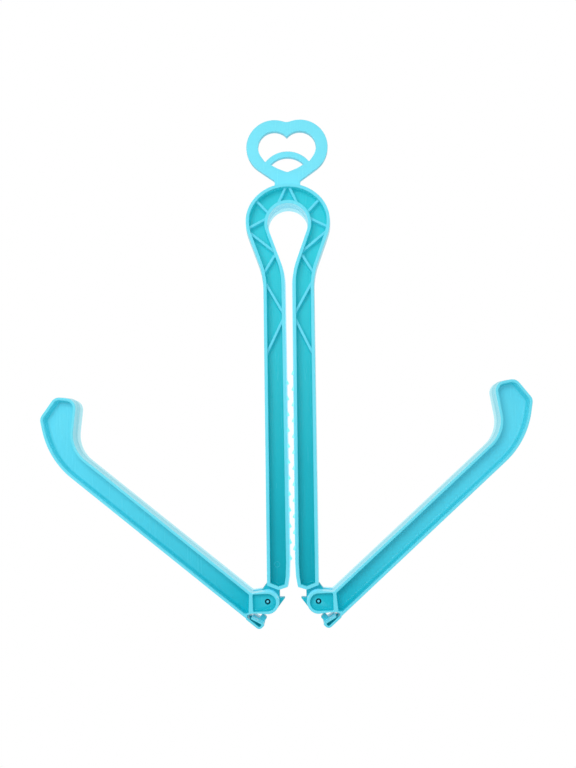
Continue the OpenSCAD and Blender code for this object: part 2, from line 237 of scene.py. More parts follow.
def split_long(points, longest=5.0):
    """The same outline with more points on its long stretches."""
    result = []
    for i, p in enumerate(points):
        q = points[(i + 1) % len(points)]
        count = max(1, math.ceil(math.dist(p, q) / longest))
        result += [(p[0] + (q[0] - p[0]) * k / count, p[1] + (q[1] - p[1]) * k / count) for k in range(count)]
    return result


def inset(points, distance):
    """A clockwise outline moved inwards."""
    result = []
    for i, p in enumerate(points):
        q, r = points[i - 1], points[(i + 1) % len(points)]
        a = (Vector(p) - Vector(q)).normalized()
        b = (Vector(r) - Vector(p)).normalized()
        na, nb = Vector((a.y, -a.x)), Vector((b.y, -b.x))
        result.append(tuple(Vector(p) + (na + nb) * distance / (1 + na.dot(nb))))
    return result


class Moulding:
    """Gathers the points and faces of one moulded piece, in millimetres."""

    def __init__(self, place=lambda p: p):
        # hollow is painted shade: how far each point takes the dark channel colour, darkest on channel floors, in
        # slots, gaps and grooves.
        self.points, self.faces, self.hollow, self.painted_light = [], [], [], []
        self.place = place

    # painted_light is painted light and reflection: how far a point takes the pale wall colour and the stronger painted
    # glow.
    def row(self, points, y, hollow=0.0, painted_light=0.0, dark=None):
        """One row of points; the points marked in dark take the full painted shade of a narrow slot."""
        first = len(self.points)
        for i, p in enumerate(points):
            x, z = self.place(p)
            self.points.append((x / 1000, y / 1000, z / 1000))
            self.hollow.append(1.0 if dark and dark[i] else hollow)
            self.painted_light.append(0.0 if dark and dark[i] else painted_light)
        return list(range(first, len(self.points)))

    def band(self, a, b, closed=True):
        for i in range(len(a) if closed else len(a) - 1):
            j = (i + 1) % len(a)
            self.faces.append((a[i], a[j], b[j], b[i]))

    def skin(self, rows, closed=True):
        for a, b in zip(rows, rows[1:]):
            self.band(a, b, closed)

    def cap(self, *loops):
        flat = [[Vector((self.points[i][0], self.points[i][2], 0)) for i in loop] for loop in loops]
        index = [i for loop in loops for i in loop]
        for a, b, c in tessellate_polygon(flat):
            self.faces.append((index[a], index[b], index[c]))

    def plate(self, points, y0, y1, edge=0.2, hollow=0.0, painted_light=0.0, holes=()):
        """A flat piece with rounded edges."""
        loops = []
        bevel = edge * (1 - math.cos(math.pi / 4))
        section = [(edge, y0), (bevel, y0 + bevel), (0.01, y0 + edge)]
        section += [(0.01, y1 - edge), (bevel, y1 - bevel), (edge, y1)]
        for loop, side in [(points, 1), *((h, -1) for h in holes)]:
            rows = [self.row(inset(loop, side * d), y, hollow, painted_light) for d, y in section]
            self.skin(rows)
            loops.append(rows)
        self.cap(*[rows[0] for rows in loops])
        self.cap(*[rows[-1] for rows in loops])

    def ease_painted_shade(self, share):
        """Lightens the painted shade of the channel's floor, and half as much of its walls, by share(x, z): painted
        light.
        """
        for i, (x, y, z) in enumerate(self.points):
            s = share(x * 1000, z * 1000)
            self.hollow[i] *= s if abs(y) < 0.0021 else (1 + s) / 2

    def object(self, name, material, smooth=32):
        mesh = bpy.data.meshes.new(name)
        mesh.from_pydata(self.points, [], self.faces)
        for key, values in (("hollow", self.hollow), ("painted_light", self.painted_light)):
            mesh.attributes.new(key, "FLOAT", "POINT").data.foreach_set("value", values)
        work = bmesh.new()
        work.from_mesh(mesh)
        bmesh.ops.recalc_face_normals(work, faces=work.faces)
        work.to_mesh(mesh)
        work.free()
        mesh.shade_smooth()
        mesh.set_sharp_from_angle(angle=math.radians(smooth))
        mesh.materials.append(material)
        piece = bpy.data.objects.new(name, mesh)
        bpy.context.scene.collection.objects.link(piece)
        return piece


def even_shading(piece):
    """Keeps flat faces flat next to their narrow roundings."""
    weighted = piece.modifiers.new("even shading", "WEIGHTED_NORMAL")
    weighted.keep_sharp = True


def cut(piece, cutter):
    """Takes the cutter out of the piece's mesh for good."""
    difference = piece.modifiers.new("cut", "BOOLEAN")
    difference.operation = "DIFFERENCE"
    difference.solver = "EXACT"
    difference.object = cutter
    bpy.context.view_layer.update()
    made = bpy.data.meshes.new_from_object(piece.evaluated_get(bpy.context.evaluated_depsgraph_get()))
    piece.modifiers.remove(difference)
    piece.data = made
    made.set_sharp_from_angle(angle=math.radians(32))
    bpy.data.objects.remove(cutter)
    if not made.polygons:
        raise RuntimeError(f"cutting {piece.name} left nothing")


def disc(name, centre, radius, y0, y1, material):
    """A round cutter, centre in the row frame's millimetres."""
    work = Moulding()
    loop = [(centre[0] + radius * math.sin(math.radians(t)), centre[1] + radius * math.cos(math.radians(t)))
            for t in range(0, 360, 5)]
    # Painted shade that the cut passes on to the walls of the slot it leaves.
    rows = [work.row(loop, y0, 0.6), work.row(loop, y1, 0.6)]
    work.skin(rows)
    work.cap(rows[0])
    work.cap(rows[1])
    return work.object(name, material)


# Shapes

def frame_loop(sizes):
    """The frame's whole outline, clockwise from the top of the head, and the index of the keyhole's top."""
    head, rise, drop = mm(sizes.head_width) / 2, mm(sizes.head_rise), mm(sizes.head_drop)
    keyhole, keyhole_z = mm(sizes.keyhole) / 2, -drop - mm(sizes.keyhole_drop)
    flank, bend = sizes.flank_angle, mm(sizes.flank_radius)
    hinge_x, _, shoulder_z, hub = leg_end()
    top, gap = mm(sizes.leg_span_top) / 2, mm(sizes.gap) / 2
    start_x, start_z = head * math.cos(flank), -drop - head * math.sin(flank)
    inner_x, inner_z = keyhole * math.cos(flank), keyhole_z - keyhole * math.sin(flank)
    arch = [(head * math.sin(math.radians(t)), -drop + rise * math.cos(math.radians(t))) for t in range(0, 91, 2)]
    arch += [(head * math.cos(flank * t / 8), -drop - head * math.sin(flank * t / 8)) for t in range(1, 9)]
    side = arch + [
        (top, start_z - (start_x - top) / math.tan(flank), bend),
        (mm(sizes.leg_span) / 2, shoulder_z),
        (hinge_x - hub + 0.45, shoulder_z - 2.75),
        (gap + 1.3, shoulder_z - 1),
        (gap + 0.35, shoulder_z + 4.8),
        (gap, shoulder_z + 4.8 + mm(sizes.gap_taper)),
        (mm(sizes.gap_top) / 2, inner_z - (inner_x - mm(sizes.gap_top) / 2) / math.tan(flank), bend - 3)]
    turn = math.degrees(flank)
    keyhole_arc = arc((0, keyhole_z), keyhole, -turn, 90, 3)
    half = side + keyhole_arc
    whole = half + [(-v[0], *v[1:]) for v in half[-2:0:-1]]
    points = split_long(outline(whole))
    last = min(range(len(points)), key=lambda i: math.dist(points[i], (0, keyhole_z + keyhole)))
    return points, last


def leg_end():
    """Hinge, height of the leg's shoulders and radius of the hub, in millimetres."""
    arms = bpy.context.scene.boot_arms
    hinge_z, hub = -mm(arms.hinge_drop), mm(arms.hub_radius)
    return mm(arms.hinge_span) / 2, hinge_z, hinge_z + hub + 2.4, hub


def side_wall(reach, draft, lean, back):
    """Section of the outer wall on one half: paler towards the back with painted light and reflection, with the parting
    line at mid depth.
    """
    # Painted light: the back half of the wall takes more of the pale wall colour than the front half.
    pale = (0.75, 0.9, 1.0, 0.85) if back else (0.3, 0.45, 0.55, 0.6)
    return [(lean + (draft - lean) * t, reach * t, 0.0, p) for t, p in zip((1, 0.9, 0.5, 0.02), pale[::-1])]


def wall_section(sizes):
    """The wall's section as (inset, y, hollow, painted_light), from the front channel's floor over the rim to the
    back's.
    """
    half, web, rim = mm(sizes.depth) / 2, mm(sizes.web) / 2, mm(sizes.rim_wall)
    edge, draft, step, fillet = (mm(v) for v in (sizes.rim_round, sizes.draft, sizes.parting_step, sizes.floor_fillet))
    turns = (1.57, 1.05, 0.5)

    def face(lean, back):
        foot, top = rim + 0.35, draft + rim
        rows = [(foot + fillet * (1 - math.sin(a)), web + fillet * (1 - math.cos(a)), 1.0, 0.0)
                for a in (0, 0.3, 0.65, 1.05, math.pi / 2)]
        # Painted shade: the channel's wall grows darker towards the floor.
        rows += [(foot + (top - foot) * t, web + fillet + (half - edge - web - fillet) * t, 1.0 - 0.45 * t ** 3, 0.0)
                 for t in (0.25, 0.5, 0.75, 1)]
        rows += [(top - edge * (1 - math.cos(a)), half - edge * (1 - math.sin(a)), 0.1, 0.0) for a in turns[::-1]]
        rows += [(draft + edge * (1 - math.cos(a)), half - edge * (1 - math.sin(a)), 0.0, 0.0) for a in turns]
        rows += side_wall(half - edge, draft, lean, back)
        return [(d, y if back else -y, h, t) for d, y, h, t in rows]

    return face(0, False) + face(step, True)[::-1]


def reach_to(start, way, loop):
    """How far it is from start along way to the loop."""
    nearest = 1e9
    for i, p in enumerate(loop):
        p, q = Vector(loop[i - 1]), Vector(p)
        edge = q - p
        cross = way.x * edge.y - way.y * edge.x
        if abs(cross) < 1e-12:
            continue
        to_p = p - start
        along = (to_p.x * edge.y - to_p.y * edge.x) / cross
        share = (to_p.x * way.y - to_p.y * way.x) / cross
        if along > 0 and 0 <= share <= 1:
            nearest = min(nearest, along)
    return nearest


def rib(work, a, b, loop, sizes, side):
    """A slanting rib from a to b on both faces, with a fillet where it stands on the floor.
    It ends on the loop, which lies inside the walls."""
    half, web = mm(sizes.depth) / 2 - mm(sizes.rib_drop), mm(sizes.web) / 2
    wide = mm(sizes.rib_wall) / 2
    a, b = Vector(a), Vector(b)
    along = (b - a).normalized()
    across = Vector((-along.y, along.x))
    # Painted shade: the rib's sides grow darker towards the floor, its top stays light.
    section = [(wide + 0.9, web - 0.05, 0.95), (wide + 0.55, web + 0.06, 0.95), (wide + 0.25, web + 0.28, 0.9),
               (wide + 0.1, web + 0.7, 0.8), (wide, half - 0.3, 0.25), (wide - 0.1, half - 0.08, 0.15),
               (wide - 0.3, half, 0.1)]
    section += [(-w, y, h) for w, y, h in section[::-1]]
    middle = (a + b) / 2
    ends = [(reach_to(middle + across * w, -along, loop), reach_to(middle + across * w, along, loop))
            for w, y, h in section]
    for face in (-1, 1):
        rows = []
        for share in (-1, -0.5, 0, 0.5, 1):
            first = len(work.points)
            for (w, y, h), (back, forth) in zip(section, ends):
                p = middle + across * w + along * share * (forth if share > 0 else back)
                work.points.append((side * p.x / 1000, face * y / 1000, p.y / 1000))
                work.hollow.append(h)
                work.painted_light.append(0.0)
            rows.append(list(range(first, len(work.points))))
        work.skin(rows)
        work.faces += [tuple(rows[0]), tuple(rows[-1])]


def build_frame_half(name, side, body):
    """Half of the round head with one leg, its ribs, teeth and tongue."""
    scene = bpy.context.scene
    moulding, sizes, arms = scene.boot_moulding, scene.boot_frame, scene.boot_arms
    points, last = frame_loop(sizes)
    work = Moulding(lambda p: (side * p[0], p[1]))
    rows = []
    for d, y, hollow, painted_light in wall_section(moulding):
        rows.append(work.row(inset(points, d)[:last + 1], y, hollow, painted_light))
    work.skin(rows, closed=False)
    work.cap(rows[0])
    work.cap(rows[-1])

    head, rise, drop = mm(sizes.head_width) / 2, mm(sizes.head_rise), mm(sizes.head_drop)
    keyhole, keyhole_z = mm(sizes.keyhole) / 2, -drop - mm(sizes.keyhole_drop)
    flank = sizes.flank_angle

    def on_head(t):
        return (head * math.sin(math.radians(t)), -drop + rise * math.cos(math.radians(t)))

    def on_keyhole(t):
        return (keyhole * math.sin(math.radians(t)), keyhole_z + keyhole * math.cos(math.radians(t)))

    def on_outer(depth):
        z = -drop - depth
        x = head * math.cos(flank) - (-drop - head * math.sin(flank) - z) * math.tan(flank)
        return (max(x, mm(sizes.leg_span_top) / 2), z)

    def on_inner(depth):
        z = -drop - depth
        x = keyhole * math.cos(flank) - (keyhole_z - keyhole * math.sin(flank) - z) * math.tan(flank)
        return (max(x, mm(sizes.gap_top) / 2), z)

    within = inset(points, 1.3)
    for top, bottom in HEAD_RIBS:
        rib(work, on_head(top), on_keyhole(bottom), within, moulding, side)
    for outer, inner in FLANK_RIBS:
        rib(work, on_outer(outer), on_inner(inner), within, moulding, side)

    hinge_x, hinge_z, shoulder_z, hub = leg_end()
    half_tongue, beak = mm(arms.tongue) / 2, mm(arms.beak_radius)
    local = [(-0.4, 10.2), (hub - 0.4, 7.6), (hub, 6.6), (hub, 1.9), (beak + 0.1, 1.95), (beak + 0.35, 1.5)]
    local += arc((0, 0), hub, -38, -237, 5)
    tongue = [(hinge_x - x, hinge_z + z) for x, z in local][::-1]
    # Painted shade on the tongue, which lies recessed between the cheeks.
    work.plate(tongue, -half_tongue, half_tongue, edge=0.25, hollow=0.9)

    first = mm(sizes.tooth_start) + (mm(sizes.tooth_pitch) * sizes.tooth_stagger if side < 0 else 0)
    for i in range(TEETH):
        z = -first - i * mm(sizes.tooth_pitch)
        share = (z + 100) / (shoulder_z + 4.8 + mm(sizes.gap_taper) + 100)
        face = (mm(sizes.gap_top) + (mm(sizes.gap) - mm(sizes.gap_top)) * share) / 2
        long, high, wide = mm(sizes.tooth_length), mm(sizes.tooth_height), mm(sizes.tooth_width) / 2
        tooth = [(face + 0.7, z + long * 0.8), (face, z + long * 0.7), (face - high, z, 0.15),
                 (face, z - long * 0.2), (face + 0.7, z - long * 0.2)]
        # The teeth take the pale wall colour: painted light.
        work.plate(outline(tooth)[::-1], -wide, wide, edge=0.2, painted_light=1.0)

    if side < 0:
        mark = arc(MARK_PLACE, MARK_RADIUS, 90, -260, 10)
        # The mark's lip and centre take less of the painted shade than the floor round them.
        rows = [work.row(inset(mark, d), -mm(moulding.web) / 2 - y, h)
                for d, y, h in ((0, -0.05, 1), (0.05, 0.12, 1), (0.4, 0.14, 0.7), (0.6, -0.02, 1), (1.1, -0.02, 0.6))]
        work.skin(rows)
        work.cap(rows[-1])
    # Painted light: the channels grow lighter upwards.
    work.ease_painted_shade(lambda x, z: 1 - 0.15 * max(0, min(1, 1 + z / 270)))
    piece = work.object(name, bpy.data.materials["frame plastic"])
    even_shading(piece)
    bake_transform(piece)
    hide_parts(body)


def build_ring():
    """The flat ring with its heart-shaped and lens-shaped openings, and the neck."""
    scene = bpy.context.scene
    ring, sizes = scene.boot_ring, scene.boot_frame
    lobe, offset, rise = mm(ring.lobe_radius), mm(ring.lobe_offset), mm(ring.lobe_rise)
    inner, arch, wall = lobe - mm(ring.band), mm(ring.arch_radius), mm(ring.arch_wall)
    neck, slope = mm(ring.neck_width) / 2, ring.neck_slope
    start = math.degrees(math.acos((1.6 - offset) / lobe))
    right = arc((offset, rise), lobe, start, math.degrees(slope) - 90, 3)
    end_x, end_z = right[-1]
    right += [(neck, end_z - (end_x - neck) * math.tan(slope), 1.3), (neck, -18.6, 1.2)]
    head, top, drop = mm(sizes.head_width) / 2, mm(sizes.head_rise), mm(sizes.head_drop)
    below = [(9.6, -drop + top * math.sqrt(1 - (9.6 / head) ** 2) - 0.2)]
    below += [(x, -drop + top * math.sqrt(1 - (x / head) ** 2) - 1.2) for x in (9.4, 6, 3, 0)]
    half = [(0.6, right[0][1] - 0.2)] + right + below
    plate = outline(half + [(-v[0], *v[1:]) for v in half[-2::-1]])

    flank = [(15.6 - 2.9 * i / 200, 1 - 4.1 * i / 200) for i in range(200)]
    cross = next(p for p in flank if math.hypot(p[0], p[1] + arch) <= arch + wall)
    tip = math.degrees(math.atan2(cross[1] + arch, cross[0]))
    notch = math.degrees(math.acos(-offset / inner))
    lobe_arc = arc((offset, rise), inner, notch - 6, -32, 4)
    notch_z = rise + math.sqrt(inner ** 2 - offset ** 2)
    heart_half = [(0, notch_z, 0.35)] + lobe_arc + [(*cross, 0.45)]
    heart = outline(heart_half + arc((0, -arch), arch + wall, tip + 3, 177 - tip, 3)
                    + [(-v[0], *v[1:]) for v in heart_half[:0:-1]])

    lens = arch + 1.1
    lens_z = lens - mm(ring.lens_height)
    z = lens_corner(arch, lens, lens_z)
    corner_x = math.sqrt(arch ** 2 - (z + arch) ** 2)
    high = math.degrees(math.atan2(z + arch, corner_x))
    lowest = -mm(ring.lens_height)
    eye = arc((0, -arch), arch, 180 - high, high, 4)
    eye = outline(eye + [(corner_x * 0.62, z + (lowest - z) * 0.56, 9), (0, lowest - 0.75, 2.2),
                         (-corner_x * 0.62, z + (lowest - z) * 0.56, 9)])

    work = Moulding()
    thick = mm(ring.thickness) / 2
    # A touch of the pale wall colour on the ring: painted light.
    work.plate(plate, -thick, thick, edge=mm(ring.edge_round), holes=(heart, eye), painted_light=0.1)
    piece = work.object("hanging_ring", bpy.data.materials["frame plastic"])
    even_shading(piece)
    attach(piece, "crown")
    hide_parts("crown")


def lens_corner(arch, lens, lens_z):
    """Height at which the two arcs of the lens-shaped hole meet."""
    return (lens_z ** 2 - lens ** 2) / (2 * (arch + lens_z))


def arm_shape(arms):
    """The arm's outline, its channel, and the recess in the hub, clockwise in the arm's own plane."""
    reach, outer, inner, hub = mm(arms.reach), mm(arms.outer), mm(arms.inner), mm(arms.hub_radius)
    rim = mm(bpy.context.scene.boot_moulding.rim_wall)
    bend_x = reach - 27
    foot_x, foot_z = turned(mm(arms.foot_edge), 0, arms.foot_slant)
    foot = [(bend_x, -inner, 18.5), (bend_x + foot_x, foot_z - inner, 6.3), (reach, mm(arms.foot_rise), 5.7),
            (reach - 1, 0.5, 5.5), (reach - 20.2, -outer, 49)]
    wall = mm(arms.latch_wall)
    root = [(3.4, -outer), (3.4, -outer + wall), (4.1, -outer + wall + 0.9, 0.5), (3.2, -11, 0.8), (1.6, -9.5, 0.5)]
    hub_arc = arc((0, 0), hub, 228, 52, 5)
    whole = split_long(outline([(10.3, -inner, 2)] + foot + root + hub_arc))
    start = 11.8 - rim
    channel = inset(outline([(start, -inner)] + foot + [(start - 4.1, -outer), (start - 6.6, -12.8),
                                                        (start - 7.1, -10.4)]), rim)
    flat = hub - rim
    recess = outline([(-8.4, flat, 0.9)] + arc((0, 0), flat, 90, -90, 5) + [(-8.4, -flat, 0.9)])
    turn = math.pi / 2 + arms.recess_angle
    recess = [turned(x, -z, turn) for x, z in recess]
    return whole, split_long(channel), recess[::-1]


def arm_place(side, radians):
    """Puts a point of the arm's own plane into the row frame."""
    hinge_x, hinge_z = leg_end()[:2]

    def place(p):
        x, z = turned(p[0], -p[1], math.pi / 2 + radians)
        return (-side * (x - hinge_x), z + hinge_z)

    return place


def build_arm(name, side, radians):
    """A footed arm with its channel, hub, pin recess and the slot for the leg's tongue."""
    scene = bpy.context.scene
    moulding, arms = scene.boot_moulding, scene.boot_arms
    whole, channel, recess = arm_shape(arms)
    half, web = mm(moulding.depth) / 2, mm(moulding.web) / 2
    edge, draft, step, fillet = (mm(v) for v in (moulding.rim_round, moulding.draft, moulding.parting_step,
                                                 moulding.floor_fillet))
    rounding = [(edge * (1 - math.cos(a)), half - edge * (1 - math.sin(a))) for a in (1.57, 1.05, 0.5)]
    work = Moulding(arm_place(side, radians))
    # Painted shade in the narrow gap between the arm and its latch.
    shaded_near_latch = [u < 4.3 and 0.5 - mm(arms.outer) < v < -4.4 for u, v in whole]
    outer_rows = []
    for face, lean in ((-1, 0), (1, step)):
        rows = [(draft + d, y, 0.0, 0.0) for d, y in rounding]
        rows += side_wall(half - edge, draft, lean, face > 0)
        made = [work.row(inset(whole, d), face * y, h, t, shaded_near_latch if y < half - 0.35 else None)
                for d, y, h, t in rows]
        outer_rows += made if face < 0 else made[::-1]
    work.skin(outer_rows)
    for face, rim in ((-1, outer_rows[0]), (1, outer_rows[-1])):
        loops = [rim]
        for loop, depth, round_floor in ((channel, half - web, 1.9 * fillet), (recess, mm(arms.hub_recess), 0.7)):
            floor = half - depth
            straight = half - edge - floor - round_floor
            # Painted shade: the channel's and the recess's walls grow darker towards their floors.
            section = [(0.1 - d, y, 0.1) for d, y in rounding]
            section += [(0.1 + 0.3 * t, half - edge - straight * t, 1.0 - 0.45 * (1 - t) ** 3)
                        for t in (0, 0.25, 0.5, 0.75, 1)]
            section += [(0.4 + round_floor * (1 - math.cos(a)), floor + round_floor * (1 - math.sin(a)), 1.0)
                        for a in (0.5, 0.9, 1.25, 1.57)]
            rows = [work.row(inset(loop, d), face * y, h) for d, y, h in section]
            work.skin(rows)
            loops.append(rows[0])
            if loop is recess:
                # Painted shade in the pin's hole.
                pin_hole = arc((0, 0), PIN_HOLE_RADIUS, 90, -260, 10)
                hole = [work.row(inset(pin_hole, d), face * y, h)
                        for d, y, h in ((0, floor, 0.8), (0.1, floor - 0.15, 1), (0.12, floor - 2.4, 1))]
                work.skin(hole)
                work.cap(rows[-1], hole[0])
                work.cap(hole[-1])
            else:
                work.cap(rows[-1])
        work.cap(*loops)
    hinge_x, hinge_z = leg_end()[:2]
    hinge, reach = (side * hinge_x, hinge_z), mm(arms.reach)
    # Painted light: the channel grows lighter from the hinge towards the foot.
    work.ease_painted_shade(lambda x, z: 1 - 0.82 * max(0, min(1, (math.dist((x, z), hinge) - 18) / (reach - 30))) ** 0.6)
    plastic_of_arm = bpy.data.materials["arm plastic"]
    piece = work.object(name, plastic_of_arm)
    slot = mm(arms.tongue) / 2 + mm(arms.cheek_gap)
    cut(piece, disc("slot", hinge, mm(arms.beak_radius) + 0.6, -slot, slot, plastic_of_arm))
    even_shading(piece)
    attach(piece, name)
    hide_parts(name)


def build_latch(name, side, radians):
    """The hairpin snap latch: spring wall, bend, the bar that comes back, and the catch at mid depth."""
    scene = bpy.context.scene
    moulding, arms = scene.boot_moulding, scene.boot_arms
    outer, wall = mm(arms.outer), mm(arms.latch_wall)
    tip, end = -6.1, 1.9
    hairpin = outline([
        (3.9, -outer + wall - 0.1), (3.9, -outer + 0.1), (3.2, -outer), (tip, -outer, 2.4), (tip - 0.5, -10.4, 0.9),
        (end, -11.8, 0.4), (end, -13, 0.4), (tip + 1.0, -11.6, 0.5), (tip + 1.0, -outer + wall, 0.8),
        (3.2, -outer + wall)])
    # Painted shade in the cavity inside the hairpin.
    shaded_cavity = [u > tip + 0.3 and 0.5 * wall - outer < v < -12.1 - 0.165 * u for u, v in hairpin]
    half = mm(moulding.depth) / 2
    work = Moulding(arm_place(side, radians))
    rows = []
    # Painted light and reflection on the latch's sides, palest just behind mid depth, with a little painted shade all
    # over.
    for d, y, painted_light in ((0.25, -half, 0.0), (0.07, -half + 0.07, 0.0), (0.0, -half + 0.25, 0.1), (0.0, -half + 0.7, 0.2),
                       (0.01, -0.2, 0.5), (0.03, 0.2, 0.8), (0.0, half - 0.7, 0.3), (0.0, half - 0.25, 0.3),
                       (0.07, half - 0.07, 0.0), (0.25, half, 0.0)):
        rows.append(work.row(inset(hairpin, d), y, 0.15, painted_light, shaded_cavity if abs(y) < half - 0.35 else None))
    work.skin(rows)
    work.cap(rows[0])
    work.cap(rows[-1])
    plate = outline([(tip - 0.3, -11), (-5.5, -9.9), (-5.5, -7.9, 0.3), (-2.2, -7.2, 0.3), (-2.3, -10.7, 0.4),
                     (1.5, -11.2), (1.5, -12.1), (tip + 1, -11.2)])
    half_tongue = mm(arms.tongue) / 2
    # Painted shade on the catch plate at mid depth.
    work.plate(plate, -half_tongue, half_tongue, edge=0.12, hollow=0.6)
    # A thin sheet at mid depth inside the hairpin, all in painted shade, that keeps the cavity dark.
    between = outline([(tip + 0.5, -11.3), (end + 0.6, -12.9), (3.6, -outer + wall - 0.3),
                       (tip + 0.5, -outer + wall - 0.3)])
    work.plate(between, -0.5, 0.5, edge=0.1, hollow=1)
    piece = work.object(name.replace("latch", "snap_latch"), bpy.data.materials["frame plastic"])
    even_shading(piece)
    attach(piece, name)
    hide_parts(name)


def build_pin(name, side, body):
    """A hinge pin with a chamfered, slightly dished end."""
    arms = bpy.context.scene.boot_arms
    hinge_x, hinge_z = leg_end()[:2]
    radius = mm(arms.pin_radius)
    half = mm(bpy.context.scene.boot_moulding.depth) / 2 - mm(arms.hub_recess) - 0.5
    work = Moulding(lambda p: (side * hinge_x + p[0], hinge_z + p[1]))
    circle = [(math.sin(math.radians(t)), math.cos(math.radians(t))) for t in range(0, 360, 10)]
    # Painted shade: the pin's groove and shank take the near-black groove colour, its end the pin colour.
    profile = [(0.05, half - 0.02, 0), (0.45, half, 0), (0.68, half - 0.06, 0.2), (0.8, half - 0.25, 0.6),
               (0.84, half - 0.6, 1), (0.9, half - 1.7, 1), (1, half - 1.8, 1), (radius, half - 1.8, 1)]
    profile += [(r, -y, h) for r, y, h in profile[::-1]]
    rows = [work.row([(x * r, z * r) for x, z in circle], y, h) for r, y, h in profile]
    work.skin(rows)
    work.cap(rows[0])
    work.cap(rows[-1])
    piece = work.object(name.replace("pin", "hinge_pin"), bpy.data.materials["pin plastic"])
    even_shading(piece)
    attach(piece, body)
    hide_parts(name)


# Materials

def new_group(name, inputs, outputs):
    group = bpy.data.node_groups.new(name, "ShaderNodeTree")
    for label, kind, value in inputs:
        socket = group.interface.new_socket(label, in_out="INPUT", socket_type=kind)
        if value is not None:
            socket.default_value = value
    for label, kind in outputs:
        group.interface.new_socket(label, in_out="OUTPUT", socket_type=kind)
    return group, group.nodes.new("NodeGroupInput"), group.nodes.new("NodeGroupOutput")


def node(tree, kind, **settings):
    made = tree.nodes.new(kind)
    for key, value in settings.items():
        setattr(made, key, value)
    return made


def painted_shade_and_light_colour_group():
    """Colour of the plastic, with painted shade in channels, cavities and grooves, painted light on walls and high up,
    slow changes from the flow of the melt, and a painted glow.
    """
    group, given, out = new_group("moulded colour with painted shade and light", [
        ("Rim", "NodeSocketColor", (0.2, 0.76, 0.92, 1)), ("Floor", "NodeSocketColor", (0.03, 0.5, 0.6, 1)),
        ("High floor", "NodeSocketColor", (0.02, 0.62, 0.68, 1)), ("Wall", "NodeSocketColor", (0.3, 0.8, 0.9, 1)),
        ("Flow", "NodeSocketFloat", 0.12)],
        [("Color", "NodeSocketColor"), ("Glow", "NodeSocketColor")])
    link = group.links.new
    hollow = node(group, "ShaderNodeAttribute", attribute_name="hollow")
    painted_light = node(group, "ShaderNodeAttribute", attribute_name="painted_light")
    place = node(group, "ShaderNodeTexCoord")
    flow = node(group, "ShaderNodeTexNoise")
    flow.inputs["Scale"].default_value = 38
    flow.inputs["Detail"].default_value = 2
    link(place.outputs["Object"], flow.inputs["Vector"])
    parts = node(group, "ShaderNodeSeparateXYZ")
    # Painted light: the channels' floor colour brightens with height.
    rise = node(group, "ShaderNodeMapRange")
    rise.inputs["From Min"].default_value = SHADED_LOW_Z
    rise.inputs["From Max"].default_value = LIT_HIGH_Z
    lit_up_high = node(group, "ShaderNodeMix", data_type="RGBA")
    link(place.outputs["Object"], parts.inputs[0])
    link(parts.outputs["Z"], rise.inputs["Value"])
    link(rise.outputs["Result"], lit_up_high.inputs[0])
    link(given.outputs["Floor"], lit_up_high.inputs[6])
    link(given.outputs["High floor"], lit_up_high.inputs[7])
    to_shaded_floor = node(group, "ShaderNodeMix", data_type="RGBA")
    link(hollow.outputs["Fac"], to_shaded_floor.inputs[0])
    link(given.outputs["Rim"], to_shaded_floor.inputs[6])
    link(lit_up_high.outputs[2], to_shaded_floor.inputs[7])
    to_lit_wall = node(group, "ShaderNodeMix", data_type="RGBA")
    link(painted_light.outputs["Fac"], to_lit_wall.inputs[0])
    link(to_shaded_floor.outputs[2], to_lit_wall.inputs[6])
    link(given.outputs["Wall"], to_lit_wall.inputs[7])
    level = node(group, "ShaderNodeMapRange")
    level.inputs["From Min"].default_value = 0.3
    level.inputs["From Max"].default_value = 0.7
    level.inputs["To Min"].default_value = 0.0
    link(flow.outputs["Fac"], level.inputs["Value"])
    link(given.outputs["Flow"], level.inputs["To Max"])
    deeper = node(group, "ShaderNodeMix", data_type="RGBA", blend_type="MULTIPLY")
    deeper.inputs[7].default_value = (0.45, 0.8, 0.86, 1)
    link(level.outputs["Result"], deeper.inputs[0])
    link(to_lit_wall.outputs[2], deeper.inputs[6])
    link(deeper.outputs[2], out.inputs["Color"])
    # Painted glow: stronger where the painted light is.
    share = node(group, "ShaderNodeMath", operation="MULTIPLY_ADD")
    share.inputs[1].default_value = 0.5
    share.inputs[2].default_value = 0.5
    painted_glow = node(group, "ShaderNodeVectorMath", operation="SCALE")
    link(painted_light.outputs["Fac"], share.inputs[0])
    link(deeper.outputs[2], painted_glow.inputs[0])
    link(share.outputs["Value"], painted_glow.inputs["Scale"])
    link(painted_glow.outputs["Vector"], out.inputs["Glow"])
    return group


